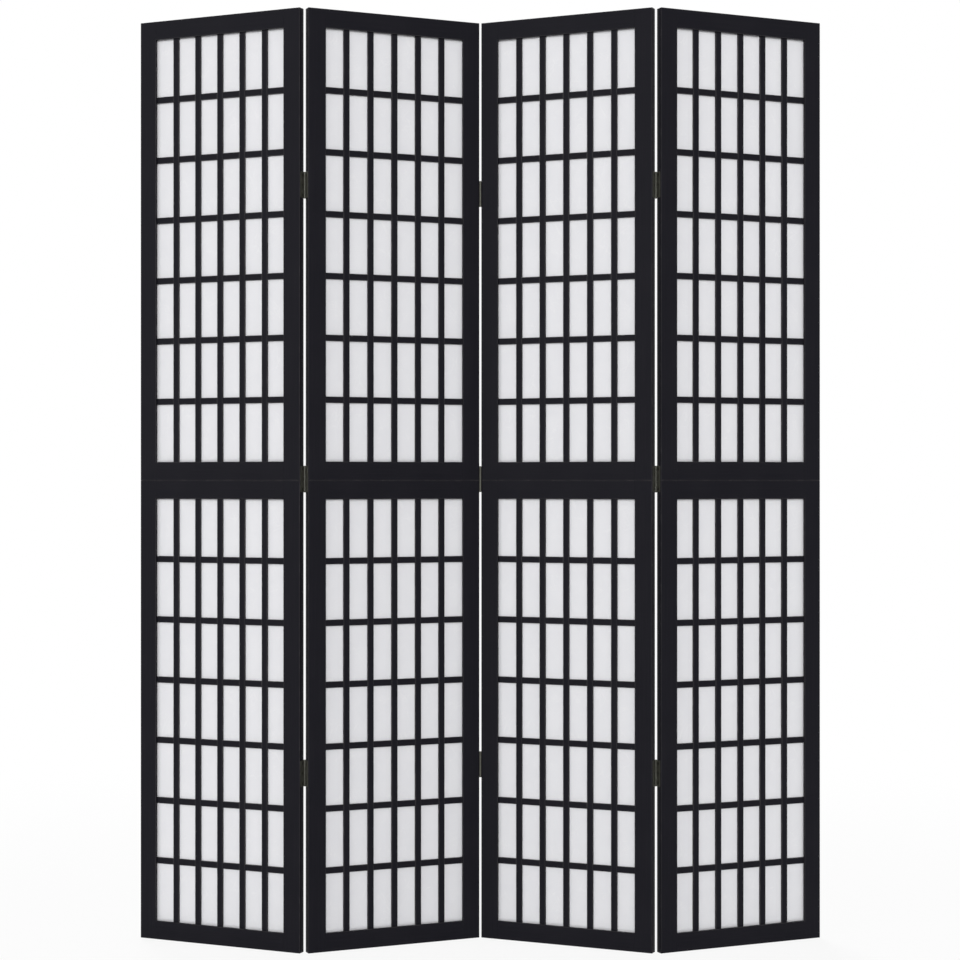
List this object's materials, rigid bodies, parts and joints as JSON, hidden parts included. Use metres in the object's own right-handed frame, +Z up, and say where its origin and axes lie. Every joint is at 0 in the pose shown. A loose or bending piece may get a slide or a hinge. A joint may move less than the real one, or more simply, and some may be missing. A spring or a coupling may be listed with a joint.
{
  "type": "folding screen",
  "caption": "Free-standing zigzag folding screen of hinged wooden frames, each with a lattice over translucent paper above and below a middle rail.",
  "frame": {"origin": "on the floor under the middle of the standing screen's outer box", "axes": "+X along the row of panels towards panel 4, +Y from the front face that the picture shows to the back, +Z up"},
  "size_m": [1.337, 0.159, 1.8],
  "materials": {
    "frame_lacquer": "satin black lacquer over planed softwood",
    "lattice_lacquer": "satin black lacquer over planed softwood strips",
    "shoji_paper": "matt white translucent fibre paper",
    "dowel_beech": "bare turned beech",
    "hinge_bronze": "dark bronzed steel, semi-matt",
    "pin_steel": "dark drawn steel",
    "screw_steel": "darkened steel, countersunk cross-recess heads"
  },
  "bodies": {
    "panel_1": {"panel_1_upper_left_stile": "frame_lacquer", "panel_1_upper_right_stile": "frame_lacquer", "panel_1_lower_left_stile": "frame_lacquer", "panel_1_lower_right_stile": "frame_lacquer", "panel_1_top_rail": "frame_lacquer", "panel_1_upper_middle_rail": "frame_lacquer", "panel_1_lower_middle_rail": "frame_lacquer", "panel_1_bottom_rail": "frame_lacquer", "panel_1_dowels": "dowel_beech", "panel_1_paper": "shoji_paper", "panel_1_front_lattice": "lattice_lacquer", "panel_1_back_lattice": "lattice_lacquer", "panel_1_hinge_screws": "screw_steel", "left_fold_leaves_on_panel_1": "hinge_bronze"},
    "panel_2": {"panel_2_upper_left_stile": "frame_lacquer", "panel_2_upper_right_stile": "frame_lacquer", "panel_2_lower_left_stile": "frame_lacquer", "panel_2_lower_right_stile": "frame_lacquer", "panel_2_top_rail": "frame_lacquer", "panel_2_upper_middle_rail": "frame_lacquer", "panel_2_lower_middle_rail": "frame_lacquer", "panel_2_bottom_rail": "frame_lacquer", "panel_2_dowels": "dowel_beech", "panel_2_paper": "shoji_paper", "panel_2_front_lattice": "lattice_lacquer", "panel_2_back_lattice": "lattice_lacquer", "panel_2_hinge_screws": "screw_steel", "left_fold_leaves_on_panel_2": "hinge_bronze", "centre_fold_leaves_on_panel_2": "hinge_bronze", "panel_2_hinge_pins": "pin_steel"},
    "panel_3": {"panel_3_upper_left_stile": "frame_lacquer", "panel_3_upper_right_stile": "frame_lacquer", "panel_3_lower_left_stile": "frame_lacquer", "panel_3_lower_right_stile": "frame_lacquer", "panel_3_top_rail": "frame_lacquer", "panel_3_upper_middle_rail": "frame_lacquer", "panel_3_lower_middle_rail": "frame_lacquer", "panel_3_bottom_rail": "frame_lacquer", "panel_3_dowels": "dowel_beech", "panel_3_paper": "shoji_paper", "panel_3_front_lattice": "lattice_lacquer", "panel_3_back_lattice": "lattice_lacquer", "panel_3_hinge_screws": "screw_steel", "centre_fold_leaves_on_panel_3": "hinge_bronze", "right_fold_leaves_on_panel_3": "hinge_bronze", "panel_3_hinge_pins": "pin_steel"},
    "panel_4": {"panel_4_upper_left_stile": "frame_lacquer", "panel_4_upper_right_stile": "frame_lacquer", "panel_4_lower_left_stile": "frame_lacquer", "panel_4_lower_right_stile": "frame_lacquer", "panel_4_top_rail": "frame_lacquer", "panel_4_upper_middle_rail": "frame_lacquer", "panel_4_lower_middle_rail": "frame_lacquer", "panel_4_bottom_rail": "frame_lacquer", "panel_4_dowels": "dowel_beech", "panel_4_paper": "shoji_paper", "panel_4_front_lattice": "lattice_lacquer", "panel_4_back_lattice": "lattice_lacquer", "panel_4_hinge_screws": "screw_steel", "right_fold_leaves_on_panel_4": "hinge_bronze"}
  },
  "joints": [
    {"name": "left_fold", "type": "hinge", "parent": "panel_2", "child": "panel_1", "pos_m": [-0.33525, -0.06336, 0.9], "axis": [0, 0, 1], "range_deg": [-132, 48]},
    {"name": "centre_fold", "type": "hinge", "parent": "panel_2", "child": "panel_3", "pos_m": [0, 0.06336, 0.9], "axis": [0, 0, 1], "range_deg": [-132, 48]},
    {"name": "right_fold", "type": "hinge", "parent": "panel_3", "child": "panel_4", "pos_m": [0.33525, -0.06336, 0.9], "axis": [0, 0, 1], "range_deg": [-48, 132]}
  ]
}
